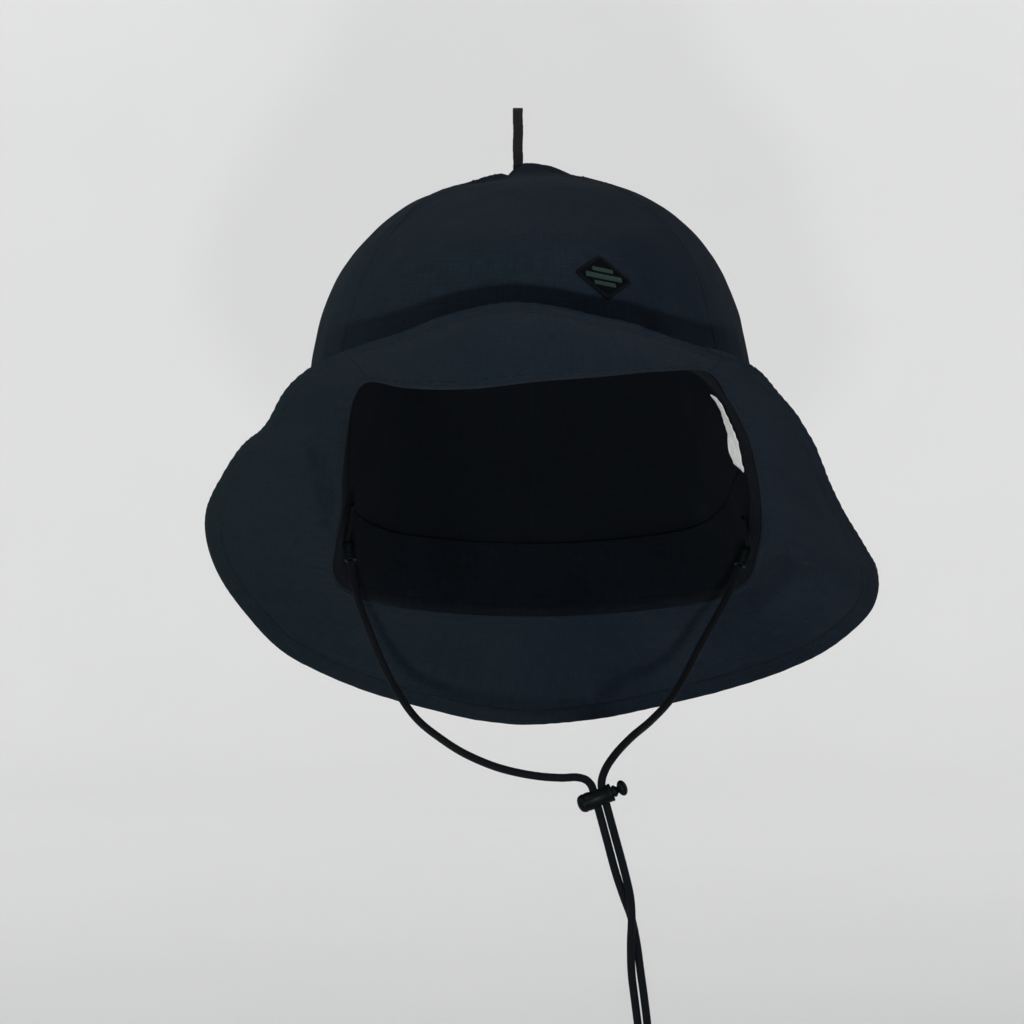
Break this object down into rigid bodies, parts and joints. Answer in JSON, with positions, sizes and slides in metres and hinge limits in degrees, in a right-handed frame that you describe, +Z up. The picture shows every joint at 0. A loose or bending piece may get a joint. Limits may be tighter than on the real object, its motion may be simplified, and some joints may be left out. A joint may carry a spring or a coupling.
{
  "type": "bucket hat",
  "caption": "Soft bucket hat with a panelled top, a wide drooping brim, a hang loop, and a chin cord with a sprung cord lock.",
  "frame": {"origin": "middle of the head opening, on the level of the temples, where the head carries the hat", "axes": "+Z up as the hat is worn, -Y the way the face looks, +X towards the wearer's left; the opening leans back about 25 degrees"},
  "size_m": [0.2726, 0.2806, 0.3941],
  "materials": {
    "shell_cloth": "matt dark navy plain-woven nylon and cotton cloth",
    "lining_cloth": "thin dark lining cloth",
    "sweatband_cloth": "soft dark brushed cotton band",
    "interlining": "thin stiff interlining, hidden",
    "binding_tape": "folded bias tape in the shell's colour",
    "loop_tape": "brown-black woven tape",
    "cord": "black braided cord",
    "lock_plastic": "black moulded acetal, slight gloss",
    "spring_steel": "bright spring wire, hidden",
    "label_satin": "white satin label tape, blank",
    "emblem_cloth": "black woven diamond patch with a plain green-grey motif"
  },
  "bodies": {
    "hat": {"crown_front_panel": "shell_cloth", "crown_side_panel_left": "shell_cloth", "crown_side_panel_right": "shell_cloth", "crown_back_panel_left": "shell_cloth", "crown_back_panel_right": "shell_cloth", "crown_lining_left": "lining_cloth", "crown_lining_right": "lining_cloth", "seam_tape_front_left": "binding_tape", "seam_tape_side_left": "binding_tape", "seam_tape_back": "binding_tape", "seam_tape_side_right": "binding_tape", "seam_tape_front_right": "binding_tape", "sweatband": "sweatband_cloth", "brim_upper_front": "shell_cloth", "brim_upper_back": "shell_cloth", "brim_interlining_front": "interlining", "brim_interlining_back": "interlining", "brim_under_front": "shell_cloth", "brim_under_back": "shell_cloth", "brim_edge_binding": "binding_tape", "emblem_patch": "emblem_cloth", "care_label": "label_satin", "chin_cord_right": "cord", "chin_cord_left": "cord", "cord_anchor_right_sleeve": "lock_plastic", "cord_anchor_right_tab": "loop_tape", "cord_anchor_left_sleeve": "lock_plastic", "cord_anchor_left_tab": "loop_tape", "cord_end_knot": "cord"},
    "loop": {"hang_loop": "loop_tape"},
    "lock": {"cord_lock_body": "lock_plastic"},
    "plunger": {"cord_lock_plunger": "lock_plastic", "cord_lock_spring": "spring_steel"}
  },
  "joints": [
    {"name": "hang_loop_fold", "type": "hinge", "parent": "hat", "child": "loop", "pos_m": [-0.006, 0.012, 0.1398], "axis": [1, 0, 0], "range_deg": [-55, 55], "stiffness_Nm_per_rad": 0.003},
    {"name": "cord_lock_slide", "type": "slide", "parent": "hat", "child": "lock", "axis": [0.2622, 0, -0.965], "range_m": [0, 0.024]},
    {"name": "cord_lock_press", "type": "slide", "parent": "lock", "child": "plunger", "axis": [-0.9272, 0, -0.3746], "range_m": [0, 0.0018], "stiffness_N_per_m": 400, "springref_m": -0.004, "deforming": ["cord_lock_spring"]}
  ]
}
